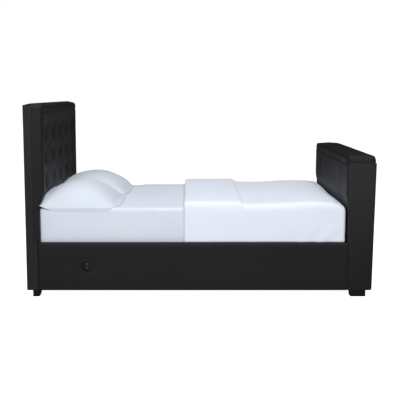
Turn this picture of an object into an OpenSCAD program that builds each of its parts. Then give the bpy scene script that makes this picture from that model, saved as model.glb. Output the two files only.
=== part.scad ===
// Upholstered double bed with a television lift in its footboard.
// X runs from the head end to the foot end and Z up from the floor. Left and right are those of
// a sleeper lying on their back, so right is -Y. The origin is on the floor, under the middle.

/* [Mattress] */
// Length of the mattress
mattress_l = 1900; // [1800:10:2300]
// Width of the mattress
mattress_w = 1350; // [1120:10:1900]
// Depth of the mattress
mattress_h = 240; // [180:5:300]
// Gap between the mattress and each side rail
mattress_side_gap = 4; // [2:1:15]
// Gap between the mattress and the headboard pad
mattress_head_gap = 2; // [1:1:15]
// Gap between the mattress and the footboard pads
mattress_foot_gap = 14; // [13:1:30]
// How far the mattress sits down between the rails
mattress_sink = 25; // [15:1:60]

/* [Side rails] */
// Height of the rails' lower edge above the floor
ground_gap = 48; // [30:1:120]
// Height of a covered side rail
rail_h = 302; // [250:1:400]
// Thickness of the board inside a rail
rail_board_t = 24; // [20:1:40]
// Thickness of the padding and leather over a rail
rail_pad_t = 6; // [4:1:10]
// How far the rail cover turns down inside the rail
rail_return = 45; // [30:1:50]

/* [Round port] */
// Distance of the port from the headboard's board
port_from_head = 307.5; // [100:0.5:600]
// Height of the port above the rail's lower edge
port_rise = 154; // [80:1:200]
// Outer radius of the port's bezel
port_r = 42.5; // [30:0.5:50]
// Depth of the port's cup behind the rail's face
port_depth = 22; // [14:1:26]

/* [Headboard] */
// Height of the headboard's top above the floor
headboard_h = 1210; // [950:5:1500]
// Depth of the headboard's timber frame
headboard_frame_t = 58; // [40:1:80]
// Thickness of the headboard's front board
headboard_board_t = 12; // [9:1:18]
// Thickness of the cloth on the headboard's back
cloth_t = 2; // [1:0.5:3]
// Thickness of the buttoned pad above the mattress
headboard_pad_t = 28; // [24:1:50]
// Thickness of the pad where the mattress bears on it
headboard_low_pad_t = 14; // [8:1:20]
// Radius of the pad's rounded edges
pad_edge_r = 33; // [15:1:40]
// Width of a headboard post
post_w = 67; // [45:1:90]
// Height of a cross rail in the headboard
cross_rail_h = 70; // [50:1:100]
// Thickness of the leather and wadding on the ends' sides
border_t = 8; // [5:1:12]
// How far the end boards stand proud of the side rails
side_step = 5; // [2:1:12]

/* [Buttons] */
// Columns of buttons
button_cols = 5; // [3:1:7]
// Rows of buttons
button_rows = 3; // [2:1:4]
// Distance between columns
button_pitch_y = 272; // [120:1:300]
// Distance between rows
button_pitch_z = 148; // [100:1:170]
// Distance of the top row below the headboard's top
button_drop = 178; // [120:1:220]
// Radius of a covered button
button_r = 12; // [8:0.5:16]
// Depth of the dimple that a button pulls in
dimple_depth = 20; // [12:1:22]
// Radius of a dimple at the pad's face
dimple_r = 52; // [30:1:55]

/* [Footboard] */
// Height of the footboard's padded cap above the floor
footboard_h = 892; // [800:1:1000]
// Thickness of the padded cap
cap_t = 45; // [30:1:60]
// Radius along the cap's edges
cap_edge_r = 22; // [10:1:28]
// Radius of the roll at the cap's two ends
cap_end_r = 42; // [25:1:44]
// Clear depth of the bay for the television
bay_depth = 112; // [105:1:160]
// Thickness of the footboard's inner and outer boards
footboard_board_t = 12; // [9:1:18]
// Thickness of the pads on the inner face
inner_pad_t = 10; // [6:1:11]
// Thickness of the outer padding at the floor end
outer_pad_low_t = 13; // [8:1:20]
// Thickness of the outer padding under the cap
outer_pad_top_t = 27; // [12:1:40]
// Width of the lifting lid and of the centre pad
lid_w = 890; // [700:5:1000]
// Gap between the lid and each fixed cap
lid_gap = 4; // [3:0.5:8]
// Thickness of the dividers, end boards, floor board and shelves
carcass_t = 18; // [12:1:22]

/* [Lift] */
// Travel of each of the two moving stages
stage_travel = 275; // [150:5:290]
// Length that each stage keeps inside the next at full travel
stage_overlap = 305; // [200:5:320]
// Depth of the lift's fixed column
column_d = 36; // [34:1:44]
// Width of the lift's fixed column
column_w = 80; // [70:1:100]
// Wall of each stage
stage_wall = 3; // [2:0.5:3]
// Gap all round between one stage and the next
stage_gap = 0.6; // [0.4:0.1:1]
// Pitch of the four television screws, both ways
tv_screw_pitch = 200; // [100:100:200]
// Radius of the holes for the television screws
tv_hole_r = 3.2; // [2.2:0.1:4.2]

/* [Slatted base] */
// Slats in each of the two rows
slat_count = 14; // [10:1:18]
// Width of a slat
slat_w = 53; // [38:1:70]
// Thickness of a slat
slat_t = 8; // [6:1:12]
// Rise of a sprung slat at its middle
slat_crown = 12; // [4:1:20]
// Height and width of the ledge that carries the slats
ledge_s = 32; // [25:1:40]
// Width of the steel centre rail
centre_rail_w = 40; // [30:1:60]
// Legs under the centre rail
leg_count = 3; // [2:1:5]

/* [Bedding] */
// Thickness of the duvet on top of the mattress
duvet_t = 24; // [15:1:40]
// Thickness of the duvet where it hangs at the sides
duvet_side_t = 20; // [10:1:30]
// Length of the folded-back band
duvet_fold_l = 362; // [200:1:500]
// Extra thickness of the folded-back band
duvet_fold_t = 16; // [8:1:30]
// Bare length of mattress at the head end
duvet_start = 899; // [600:1:1200]
// Length of a pillow along the bed
pillow_l = 474; // [400:1:520]
// Height of a pillow
pillow_h = 143; // [90:1:180]

/* [Hidden] */
$fn = 64;
hull_fn = 32;
leather = [0.12, 0.12, 0.125];
timber = [0.78, 0.64, 0.44];
board_colour = [0.70, 0.55, 0.38];
steel = [0.55, 0.56, 0.58];
black_plastic = [0.06, 0.06, 0.065];
white_cloth = [0.90, 0.92, 0.96];

// Widths, from the mattress outwards
rail_in = mattress_w / 2 + mattress_side_gap;
rail_t = rail_board_t + 2 * rail_pad_t;
rail_out = rail_in + rail_t;
core_in = rail_in + rail_pad_t;
core_out = core_in + rail_board_t;
end_half = rail_out + side_step;
carcass_half = end_half - border_t;

// Heights
rail_top = ground_gap + rail_h;
mattress_z = rail_top - mattress_sink;
mattress_top = mattress_z + mattress_h;
touch = 1;

// Lengths, measured from the front of the headboard's board and then centred
headboard_t = cloth_t + headboard_frame_t + headboard_board_t;
rail_l = headboard_low_pad_t + mattress_head_gap + mattress_l + mattress_foot_gap + inner_pad_t;
footboard_t = 2 * footboard_board_t + bay_depth + outer_pad_top_t;
total_l = headboard_t + rail_l + footboard_t;
back_x = -total_l / 2;
frame_x = back_x + cloth_t;
board_x = frame_x + headboard_frame_t;
head_x = back_x + headboard_t;
pad_x = head_x + headboard_pad_t;
low_pad_x = head_x + headboard_low_pad_t;
mattress_x = low_pad_x + mattress_head_gap;
foot_x = head_x + rail_l;
foot_pad_x = foot_x - inner_pad_t;
bay_x = foot_x + footboard_board_t;
bay_end_x = bay_x + bay_depth;
outer_board_end = bay_end_x + footboard_board_t;
outer_low_x = outer_board_end + outer_pad_low_t;
outer_top_x = outer_board_end + outer_pad_top_t;

// Headboard
headboard_inner_z = headboard_h - border_t;
pad_wrap = 20;
pad_wrap_x = head_x - pad_wrap;
pad_bottom = rail_top + touch;
thick_pad_z = mattress_top + 10;
top_button_z = headboard_h - button_drop;
button_h = 7;
low_rail_z = rail_top - 20;
top_rail_z = headboard_inner_z - cross_rail_h;
cross_rail_levels = [ground_gap + 12, low_rail_z, (low_rail_z + top_rail_z) / 2, top_rail_z];

// Feet
foot_inset = 40;
foot_y = 60;
head_foot = [30, 81, 29, 70];
tail_foot = [16, 118.5, 23, 118];

// Side rails and their fittings
port_x = head_x + port_from_head;
port_z = ground_gap + port_rise;
bezel_t = 2;
cup_r = port_r - 5;
cup_wall = 2;
cup_fit = 0.5;
rail_end_gap = 2;
cover_bottom_t = 2;
bracket_t = 3;
bracket_leg = 62;
bracket_z = [ground_gap + 62, ground_gap + 182];
bolt_r = 4;
bolt_hole_r = 4.3;
bolt_head_r = 7;
bolt_head_h = 5;
bolt_grip = 20;
bolt_in = 24;
bolt_levels = [bracket_z[0] + 25, bracket_z[1] - 25];

// Slatted base, from the slats downwards
slat_top = mattress_z - touch;
slat_end_z = slat_top - slat_crown - slat_t;
holder_wall = 5;
ledge_top = slat_end_z - holder_wall;
pocket_headroom = 3;
holder_top = slat_end_z + slat_t + pocket_headroom + 4;
holder_l = 40;
holder_out = rail_in - 6;
slat_gap = 0.5;
slat_end_gap = 3;
slat_out = holder_out - holder_wall - slat_end_gap;
centre_holder_half = 42;
slat_in = holder_wall / 2 + slat_end_gap;
slat_margin = 40;
slat_first = mattress_x + slat_margin;
slat_last = mattress_x + mattress_l - slat_margin;
leg_r = 17.5;
glide_r = 24;
glide_h = 8;
centre_rail_h = 40;
tube_wall = 2;
leg_pitch = rail_l / (leg_count + 1);

// Footboard
board_top = footboard_h - cap_t;
cap_overhang = 3;
cap_x0 = foot_pad_x - cap_overhang;
lid_half = lid_w / 2 - lid_gap / 2;
cap_half = lid_w / 2 + lid_gap / 2;
pad_seam = 1;
bay_half = lid_w / 2 - 15;
floor_board_z = ground_gap;
bay_floor = floor_board_z + carcass_t;
shelf_z = board_top - carcass_t;
lid_z = board_top + touch;
lid_board_t = 14;
lid_board_inset = 14;

// Lift
column_h = stage_travel + stage_overlap;
plate_t = 3;
plate_wing = 20;
column_x1 = bay_end_x - plate_t;
column_x0 = column_x1 - column_d;
column_z = bay_floor + 20;
column_cx = (column_x0 + column_x1) / 2;
middle_d = column_d - 2 * stage_wall - 2 * stage_gap;
middle_w = column_w - 2 * stage_wall - 2 * stage_gap;
inner_d = middle_d - 2 * stage_wall - 2 * stage_gap;
inner_w = middle_w - 2 * stage_wall - 2 * stage_gap;
stage_rise = 12;
middle_z = column_z + 15;
nut_h = 18;
inner_z = middle_z + nut_h + 8;
inner_top = column_z + column_h + 2 * stage_rise;
spindle_r = 6;
spindle_fit = 0.08;
top_plate_t = 5;
tv_plate_gap = 6;
tv_plate_x = column_x0 - tv_plate_gap;
tv_plate_half = tv_screw_pitch / 2 + 20;
tv_plate_top = inner_top + top_plate_t;
tv_screw_z = tv_plate_top - tv_plate_half - 14;
motor_h = 130;
gearbox_h = 18;
arm_w = 30;
arm_t = 4;
arm_flange = 24;
arm_gap = 20;
box_size = [30, 120, 80];
box_rise = 90;
box_y = (lid_w / 2 + carcass_half) / 2;
inlet_size = [28, 48];
inlet_flange = [36, 60];
inlet_depth = 26;
inlet_wall = 2.5;
inlet_top = floor_board_z + inlet_depth;

// Bedding
mattress_corner_r = 50;
duvet_edge_r = 30;
duvet_x0 = mattress_x + duvet_start;
duvet_x1 = foot_pad_x - 5;
duvet_tail_t = 8;
duvet_tail_drop = 185;
pillow_gap = 5;
pillow_overhang = 8;
pillow_corner_r = 60;
pillow_flat = 20;

// A box given by its limits along X, Y and Z
module block(x0, x1, y0, y1, z0, z1) {
    translate([x0, y0, z0]) cube([x1 - x0, y1 - y0, z1 - z0]);
}

// A flat shape drawn in X and Z, run along Y
module along_y(y0, y1) {
    translate([0, y1, 0]) rotate([90, 0, 0]) linear_extrude(y1 - y0) children();
}

// A flat shape drawn in Y and Z, run along X
module along_x(x0, x1) {
    translate([x0, 0, 0]) rotate([90, 0, 90]) linear_extrude(x1 - x0) children();
}

// A rectangle with round corners, given by two opposite corners
module rounded_rect(x0, y0, x1, y1, r) {
    translate([x0 + r, y0]) square([x1 - x0 - 2 * r, y1 - y0]);
    translate([x0, y0 + r]) square([x1 - x0, y1 - y0 - 2 * r]);
    for (x = [x0 + r, x1 - r], y = [y0 + r, y1 - r]) translate([x, y]) circle(r);
}

// A piece and its mirror image on the other side of the bed
module both_sides() {
    children();
    mirror([0, 1, 0]) children();
}

// ---- Headboard ----

// A post at each side
module headboard_posts() {
    color(timber) both_sides()
        difference() {
            block(frame_x, board_x, carcass_half - post_w, carcass_half, ground_gap, headboard_inner_z);
            head_bolt_holes();
        }
}

// The cross rails between the posts
module headboard_rails() {
    color(timber) for (z = cross_rail_levels)
        block(frame_x, board_x, post_w - carcass_half, carcass_half - post_w, z, z + cross_rail_h);
}

// The board that the front pad is pulled on to
module headboard_board() {
    color(board_colour) difference() {
        block(board_x, head_x, -carcass_half, carcass_half, ground_gap, headboard_inner_z);
        both_sides() head_bolt_holes();
        button_places() rotate([0, 90, 0]) cylinder(r = 2, h = 4 * headboard_board_t, center = true);
    }
}

// How far each column of buttons lies from the middle
function button_y(i) = (i - (button_cols - 1) / 2) * button_pitch_y;

// Places whatever is given at each button, on the front board's face
module button_places() {
    for (i = [0 : button_cols - 1], j = [0 : button_rows - 1])
        translate([head_x, button_y(i), top_button_z - j * button_pitch_z]) children();
}

// The pad with its round front edges, its dimples and its thin stretch behind the mattress
module headboard_pad() {
    reach = 3 * pad_edge_r;
    color(leather) difference() {
        intersection() {
            block(pad_wrap_x, pad_x, -end_half, end_half, pad_bottom, headboard_h);
            linear_extrude(headboard_h) rounded_rect(pad_x - reach, -end_half, pad_x, end_half, pad_edge_r);
            along_y(-end_half, end_half) rounded_rect(pad_x - reach, 0, pad_x, headboard_h, pad_edge_r);
        }
        block(back_x, head_x, -carcass_half, carcass_half, 0, headboard_inner_z);
        block(low_pad_x, pad_x + touch, -rail_in, rail_in, 0, thick_pad_z);
        button_places() translate([headboard_pad_t - dimple_depth, 0, 0]) rotate([0, 90, 0])
            cylinder(r1 = button_r + touch, r2 = dimple_r, h = dimple_depth);
    }
}

// Covered buttons, each a low dome at the bottom of its dimple
module headboard_buttons() {
    dome_r = (button_r * button_r + button_h * button_h) / (2 * button_h);
    color(leather) button_places() translate([headboard_pad_t - dimple_depth, 0, 0])
        rotate([0, 90, 0]) intersection() {
            translate([0, 0, button_h - dome_r]) sphere(dome_r);
            cylinder(r = button_r, h = button_h);
        }
}

// Padded covers on the two sides, cut back where the front pad wraps round
module headboard_side_covers() {
    color(leather) both_sides() difference() {
        block(back_x, head_x, carcass_half, end_half, ground_gap, headboard_inner_z);
        block(pad_wrap_x, head_x + touch, 0, end_half + touch, pad_bottom, headboard_h);
    }
}

// The padded cover along the top
module headboard_top_cover() {
    color(leather) block(back_x, pad_wrap_x, -end_half, end_half, headboard_inner_z, headboard_h);
}

// Cloth tacked over the back of the frame
module headboard_back_cloth() {
    color([0.09, 0.09, 0.09])
        block(back_x, frame_x, -carcass_half, carcass_half, ground_gap, headboard_inner_z);
}

// A tapered foot block from its top and bottom limits along X
module foot_block(origin_x, limits) {
    along_y(end_half - foot_inset - foot_y, end_half - foot_inset)
        translate([origin_x, 0]) polygon([
            [limits[0], ground_gap], [limits[1], ground_gap], [limits[3], 0], [limits[2], 0],
        ]);
}

module headboard_feet() {
    color(black_plastic) both_sides() foot_block(back_x, head_foot);
}

// ---- Side rails ----

// Bolt holes through the front board into a post, on the left side
module head_bolt_holes() {
    for (z = bolt_levels) translate([head_x, core_in - bracket_leg + bolt_in, z])
        rotate([0, -90, 0]) cylinder(r = bolt_hole_r, h = bolt_grip + touch);
}

// Bolt holes into the footboard's inner board, on the left side
module foot_bolt_holes() {
    for (z = bolt_levels) translate([foot_x - touch, core_in - bracket_leg + bolt_in, z])
        rotate([0, 90, 0]) cylinder(r = bolt_hole_r, h = footboard_board_t + 2 * touch);
}

// Places whatever is given at each bolt into the rail, pointing outwards
module rail_bolt_places() {
    for (x = [head_x + bracket_leg - bolt_in, foot_x - bracket_leg + bolt_in], z = bolt_levels)
        translate([x, core_in, z]) rotate([-90, 0, 0]) children();
}

// The board inside a rail, on the left side
module rail_core() {
    difference() {
        block(head_x, foot_x, core_in, core_out, ground_gap + cover_bottom_t, rail_top - rail_pad_t);
        rail_bolt_places() cylinder(r = bolt_hole_r, h = bolt_grip + touch);
    }
}

// The padded cover round a rail, on the left side
module rail_cover() {
    along_x(head_x, foot_x) difference() {
        rounded_rect(rail_in, ground_gap, rail_out, rail_top, cover_bottom_t);
        translate([core_in, ground_gap + cover_bottom_t])
            square([rail_board_t, rail_h - cover_bottom_t - rail_pad_t]);
        translate([0, 0]) square([core_in, rail_top - rail_return]);
    }
}

// A cylinder that follows the port's axis, from depth a to depth b behind the rail's face
module port_cylinder(r, a, b) {
    translate([port_x, b - rail_out, port_z]) rotate([90, 0, 0]) cylinder(r = r, h = b - a);
}

module rail_core_left() {
    color(board_colour) rail_core();
}

module rail_core_right() {
    color(board_colour) difference() {
        mirror([0, 1, 0]) rail_core();
        port_cylinder(cup_r + cup_fit, 0, rail_t);
    }
}

module rail_cover_left() {
    color(leather) rail_cover();
}

module rail_cover_right() {
    color(leather) difference() {
        mirror([0, 1, 0]) rail_cover();
        port_cylinder(cup_r + cup_fit, -touch, rail_t / 2);
    }
}

// Battens that carry the slat holders
module slat_ledges() {
    color(timber) both_sides()
        block(head_x + bracket_leg + rail_end_gap, foot_x - bracket_leg - rail_end_gap,
            core_in - ledge_s, core_in, ledge_top - ledge_s, ledge_top);
}

// Angle brackets that join the rails to the two ends
module rail_brackets() {
    color(steel) both_sides() difference() {
        union() {
            for (x = [head_x, foot_x - bracket_t])
                block(x, x + bracket_t, core_in - bracket_leg, core_in, bracket_z[0], bracket_z[1]);
            for (x = [head_x, foot_x - bracket_leg])
                block(x, x + bracket_leg, core_in - bracket_t, core_in, bracket_z[0], bracket_z[1]);
        }
        translate([0, -bracket_t - touch, 0]) rail_bolt_places() cylinder(r = bolt_hole_r, h = bolt_in);
        translate([bracket_t + touch, 0, 0]) head_bolt_holes();
        translate([-bracket_t - touch, 0, 0]) foot_bolt_holes();
    }
}

// A hexagon bolt whose head sits on the origin and whose shank runs down
module bolt(grip) {
    cylinder(r = bolt_head_r, h = bolt_head_h, $fn = 6);
    translate([0, 0, -grip]) cylinder(r = bolt_r, h = grip + touch);
}

module rail_bolts() {
    color(steel) both_sides() {
        translate([0, -bracket_t, 0]) rail_bolt_places() mirror([0, 0, 1]) bolt(bolt_grip);
        for (z = bolt_levels, y = [core_in - bracket_leg + bolt_in]) {
            translate([head_x + bracket_t, y, z]) rotate([0, 90, 0]) bolt(bolt_grip);
            translate([foot_x - bracket_t, y, z]) rotate([0, -90, 0]) bolt(footboard_board_t);
        }
    }
}

// ---- Round port on the right rail ----

module port_bezel() {
    color(black_plastic) difference() {
        port_cylinder(port_r, -bezel_t, 0);
        port_cylinder(cup_r - cup_wall, -bezel_t - touch, touch);
    }
}

module port_cup() {
    color(black_plastic) difference() {
        port_cylinder(cup_r, 0, port_depth + cup_wall);
        port_cylinder(cup_r - cup_wall, -touch, port_depth);
    }
}

// The upright plate that carries the sockets
module port_socket_plate() {
    plate_y = port_depth - rail_out;
    color(black_plastic) difference() {
        block(port_x - 10, port_x + 10, plate_y - 8, plate_y, port_z - 27, port_z + 27);
        port_socket_places() cylinder(r = 4.5, h = 3 * port_depth, center = true);
    }
}

// Places whatever is given at each socket, with Z into the rail
module port_socket_places() {
    for (z = [-14, 12])
        translate([port_x, port_depth - rail_out, port_z + z]) rotate([-90, 0, 0]) children();
}

// Metal sockets, each a short sleeve
module port_sockets() {
    color(steel) port_socket_places() translate([0, 0, -12]) difference() {
        cylinder(r = 4.5, h = 12);
        translate([0, 0, -touch]) cylinder(r = 2.2, h = 10);
    }
}

// ---- Slatted base ----

module centre_rail() {
    color(steel) difference() {
        block(head_x + bracket_t, foot_x - bracket_t, -centre_rail_w / 2, centre_rail_w / 2,
            ledge_top - centre_rail_h, ledge_top);
        block(head_x, foot_x, tube_wall - centre_rail_w / 2, centre_rail_w / 2 - tube_wall,
            ledge_top - centre_rail_h + tube_wall, ledge_top - tube_wall);
    }
}

// Plates with a lip under each end of the centre rail
module centre_rail_brackets() {
    lip_z = ledge_top - centre_rail_h - bracket_t;
    color(steel) for (s = [[head_x, head_x], [foot_x - bracket_t, foot_x - bracket_leg]]) {
        block(s[0], s[0] + bracket_t, -centre_rail_w, centre_rail_w, lip_z, ledge_top);
        block(s[1], s[1] + bracket_leg, -centre_rail_w / 2, centre_rail_w / 2, lip_z, lip_z + bracket_t);
    }
}

// Places whatever is given at each leg
module leg_positions() {
    for (i = [1 : leg_count]) translate([head_x + i * leg_pitch, 0, 0]) children();
}

module centre_legs() {
    color(steel) leg_positions()
        translate([0, 0, glide_h]) cylinder(r = leg_r, h = ledge_top - centre_rail_h - glide_h);
}

module centre_leg_glides() {
    color(black_plastic) leg_positions() cylinder(r = glide_r, h = glide_h);
}

// Where each slat lies along the bed
function slat_x(i) = slat_first + i * (slat_last - slat_first) / (slat_count - 1);

// One row of sprung slats, on the left side
module slats() {
    span = slat_out - slat_in;
    bow_r = (span * span / 4 + slat_crown * slat_crown) / (2 * slat_crown);
    for (i = [0 : slat_count - 1])
        along_x(slat_x(i) - slat_w / 2, slat_x(i) + slat_w / 2) intersection() {
            translate([slat_in, slat_end_z - slat_t]) square([span, slat_crown + 3 * slat_t]);
            translate([(slat_in + slat_out) / 2, slat_top - slat_t - bow_r]) difference() {
                circle(bow_r + slat_t, $fn = 200);
                circle(bow_r, $fn = 200);
            }
        }
}

module slats_left() {
    color([0.86, 0.74, 0.55]) slats();
}

module slats_right() {
    color([0.86, 0.74, 0.55]) mirror([0, 1, 0]) slats();
}

// A block at each slat, wider than the slat by margin on each side
module slat_blocks(margin, y0, y1, z0, z1) {
    for (i = [0 : slat_count - 1])
        block(slat_x(i) - slat_w / 2 - margin, slat_x(i) + slat_w / 2 + margin, y0, y1, z0, z1);
}

// The pockets that the slats' ends rest in
module slat_pockets(y0, y1) {
    slat_blocks(slat_gap, y0, y1, slat_end_z, slat_end_z + slat_t + pocket_headroom);
}

module side_slat_holders() {
    color(black_plastic) both_sides() difference() {
        slat_blocks(holder_wall, holder_out - holder_l, holder_out, ledge_top, holder_top);
        slat_pockets(0, holder_out - holder_wall);
    }
}

// Double holders on the centre rail, with a web between the two rows
module centre_slat_holders() {
    color(black_plastic) difference() {
        slat_blocks(holder_wall, -centre_holder_half, centre_holder_half, ledge_top, holder_top);
        both_sides() slat_pockets(holder_wall / 2, rail_in);
    }
}

// ---- Footboard ----

module footboard_inner_board() {
    color(board_colour) difference() {
        block(foot_x, bay_x, -carcass_half, carcass_half, ground_gap, board_top);
        both_sides() foot_bolt_holes();
    }
}

module footboard_outer_board() {
    color(board_colour)
        block(bay_end_x, outer_board_end, -carcass_half, carcass_half, ground_gap, board_top);
}

module footboard_end_boards() {
    color(board_colour) both_sides()
        block(bay_x, bay_end_x, carcass_half - carcass_t, carcass_half, ground_gap, board_top);
}

// Uprights on each side of the bay
module footboard_dividers() {
    color(board_colour) both_sides()
        block(bay_x, bay_end_x, bay_half, bay_half + carcass_t, bay_floor, board_top);
}

module footboard_floor_board() {
    half = carcass_half - carcass_t;
    color(board_colour) difference() {
        block(bay_x, bay_end_x, -half, half, floor_board_z, bay_floor);
        inlet_block(inlet_size[0], inlet_size[1], 0, bay_floor + touch);
    }
}

// Shelves that carry the fixed caps
module footboard_shelves() {
    color(board_colour) both_sides()
        block(bay_x, bay_end_x, bay_half + carcass_t, carcass_half - carcass_t, shelf_z, board_top);
}

// A pad on the inner face between two limits across the bed
module inner_pad(y0, y1) {
    block(foot_pad_x, foot_x, y0, y1, pad_bottom, board_top);
}

module footboard_pad_left() {
    color(leather) inner_pad(lid_w / 2 + pad_seam, carcass_half);
}

module footboard_pad_centre() {
    color(leather) inner_pad(pad_seam - lid_w / 2, lid_w / 2 - pad_seam);
}

module footboard_pad_right() {
    color(leather) mirror([0, 1, 0]) inner_pad(lid_w / 2 + pad_seam, carcass_half);
}

// The outer padding, thicker towards the top
module footboard_outer_cover() {
    color(leather) along_y(-carcass_half, carcass_half) polygon([
        [outer_board_end, ground_gap], [outer_low_x, ground_gap],
        [outer_top_x, board_top], [outer_board_end, board_top],
    ]);
}

// Padded covers on the footboard's two ends
module footboard_end_covers() {
    color(leather) both_sides() along_y(carcass_half, end_half) polygon([
        [foot_x, ground_gap], [outer_low_x, ground_gap], [outer_top_x, board_top],
        [foot_pad_x, board_top], [foot_pad_x, pad_bottom], [foot_x, pad_bottom],
    ]);
}

// The cap's cross-section, flat below and round above
module cap_profile(z0) {
    intersection() {
        rounded_rect(cap_x0, board_top - cap_t, outer_top_x, footboard_h, cap_edge_r);
        translate([cap_x0, z0]) square([outer_top_x - cap_x0, cap_t]);
    }
}

// A fixed length of the cap with its rolled end, on the left side
module fixed_cap() {
    intersection() {
        along_y(cap_half, end_half) cap_profile(board_top);
        along_x(cap_x0, outer_top_x) intersection() {
            rounded_rect(-end_half, board_top - cap_t, end_half, footboard_h, cap_end_r);
            translate([cap_half, board_top]) square([end_half - cap_half, cap_t]);
        }
    }
}

module footboard_cap_left() {
    color(leather) fixed_cap();
}

module footboard_cap_right() {
    color(leather) mirror([0, 1, 0]) fixed_cap();
}

module footboard_feet() {
    color(black_plastic) both_sides() foot_block(foot_x, tail_foot);
}

// ---- Lift ----

// The plate between the column and the outer board
module lift_mounting_plate() {
    half = column_w / 2 + plate_wing;
    color(steel) block(column_x1, bay_end_x, -half, half, column_z, column_z + column_h);
}

// A rectangular tube centred on the lift's axis
module stage(d, w, z0, z1) {
    difference() {
        block(column_cx - d / 2, column_cx + d / 2, -w / 2, w / 2, z0, z1);
        block(column_cx - d / 2 + stage_wall, column_cx + d / 2 - stage_wall,
            stage_wall - w / 2, w / 2 - stage_wall, z0 - touch, z1 + touch);
    }
}

module lift_column() {
    color(steel) stage(column_d, column_w, column_z, column_z + column_h);
}

// Motor beside the column, with its gearbox reaching under it
module lift_motor() {
    motor_r = column_d / 2;
    motor_y = column_w / 2 + motor_r + touch;
    color([0.2, 0.2, 0.22]) {
        block(column_x0, column_x1, -column_w / 2, motor_y + motor_r, column_z - gearbox_h, column_z);
        translate([column_cx, motor_y, column_z]) cylinder(r = motor_r, h = motor_h);
    }
}

module lift_spindle() {
    color([0.7, 0.7, 0.72]) translate([column_cx, 0, column_z])
        cylinder(r = spindle_r, h = column_h - stage_rise);
}

// The lift's control box, in the left compartment
module lift_control_box() {
    color(black_plastic) translate([bay_end_x - box_size[0], box_y - box_size[1] / 2, bay_floor + box_rise])
        cube(box_size);
}

// A block centred on the inlet, under the left compartment
module inlet_block(l, w, z0, z1) {
    cx = (bay_x + bay_end_x) / 2;
    block(cx - l / 2, cx + l / 2, box_y - w / 2, box_y + w / 2, z0, z1);
}

// Mains inlet in the floor board, with its mouth downwards
module power_inlet() {
    color(black_plastic) difference() {
        union() {
            inlet_block(inlet_flange[0], inlet_flange[1], floor_board_z - inlet_wall, floor_board_z);
            inlet_block(inlet_size[0] - 1, inlet_size[1] - 1, floor_board_z - touch, inlet_top);
        }
        inlet_block(inlet_size[0] - 2 * inlet_wall, inlet_size[1] - 2 * inlet_wall,
            0, inlet_top - inlet_wall);
    }
}

module lift_middle_stage() {
    color([0.62, 0.63, 0.65]) stage(middle_d, middle_w, middle_z, column_z + column_h + stage_rise);
}

// The nut that the spindle drives, in the foot of the middle stage
module lift_nut() {
    nut_d = middle_d - 2 * stage_wall;
    nut_w = middle_w - 2 * stage_wall;
    color([0.75, 0.62, 0.3]) difference() {
        translate([column_cx - nut_d / 2, -nut_w / 2, middle_z]) cube([nut_d, nut_w, nut_h]);
        translate([column_cx, 0, 0]) cylinder(r = spindle_r + spindle_fit, h = footboard_h);
    }
}

module lift_inner_stage() {
    color([0.7, 0.71, 0.73]) stage(inner_d, inner_w, inner_z, inner_top);
}

// The plate on top of the inner stage, which carries the bracket and the lid
module lift_top_plate() {
    half = column_w / 2 + plate_wing;
    color(steel) block(tv_plate_x, column_x1, -half, half, inner_top, tv_plate_top);
}

// The flat plate that a television screws to
module tv_bracket() {
    color(steel) difference() {
        block(tv_plate_x - plate_t, tv_plate_x, -tv_plate_half, tv_plate_half,
            tv_screw_z - tv_plate_half, tv_plate_top);
        for (y = [-1, 1], z = [-1, 1])
            translate([tv_plate_x, y * tv_screw_pitch / 2, tv_screw_z + z * tv_screw_pitch / 2])
                rotate([0, 90, 0]) cylinder(r = tv_hole_r, h = 4 * plate_t, center = true);
    }
}

// Two folded arms from the top plate up to the lid
module lid_arms() {
    y0 = arm_gap / 2;
    y1 = y0 + arm_w;
    color(steel) both_sides() {
        block(column_cx, column_cx + arm_t, y0, y1, tv_plate_top, lid_z);
        for (z = [tv_plate_top, lid_z - arm_t])
            block(column_cx - arm_flange, column_cx, y0, y1, z, z + arm_t);
    }
}

// The lid's board between two heights
module lid_panel(z0, z1) {
    half = lid_half - lid_board_inset;
    block(cap_x0 + lid_board_inset, outer_top_x - lid_board_inset, -half, half, z0, z1);
}

module lid_board() {
    color(board_colour) lid_panel(lid_z, lid_z + lid_board_t);
}

// The padded lid, hollow below for its board
module lid_cap() {
    color(leather) difference() {
        along_y(-lid_half, lid_half) cap_profile(lid_z);
        lid_panel(board_top, lid_z + lid_board_t);
    }
}

// ---- Bedding ----

module mattress() {
    half = mattress_w / 2;
    color(white_cloth) translate([0, 0, mattress_z]) linear_extrude(mattress_h)
        rounded_rect(mattress_x, -half, mattress_x + mattress_l, half, mattress_corner_r);
}

// The duvet over the mattress, with its folded-back band and its tail down the foot end
module duvet() {
    inner_y = mattress_w / 2 + touch;
    outer_y = inner_y + duvet_side_t;
    inner_z = mattress_top + touch;
    top_z = inner_z + duvet_t;
    mattress_end = mattress_x + mattress_l;
    color(white_cloth) difference() {
        union() {
            along_x(duvet_x0, duvet_x1) duvet_section(outer_y, top_z);
            along_x(duvet_x0, duvet_x0 + duvet_fold_l) duvet_section(outer_y + touch, top_z + duvet_fold_t);
        }
        block(duvet_x0 - touch, duvet_x1 - duvet_tail_t, -inner_y, inner_y, 0, inner_z);
        block(mattress_end, duvet_x1 + touch, -end_half, end_half, 0, top_z - duvet_tail_drop);
    }
}

// The duvet's outline across the bed
module duvet_section(half, top) {
    intersection() {
        rounded_rect(-half, 0, half, top, duvet_edge_r);
        translate([-half, rail_top + touch]) square([2 * half, top]);
    }
}

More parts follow.
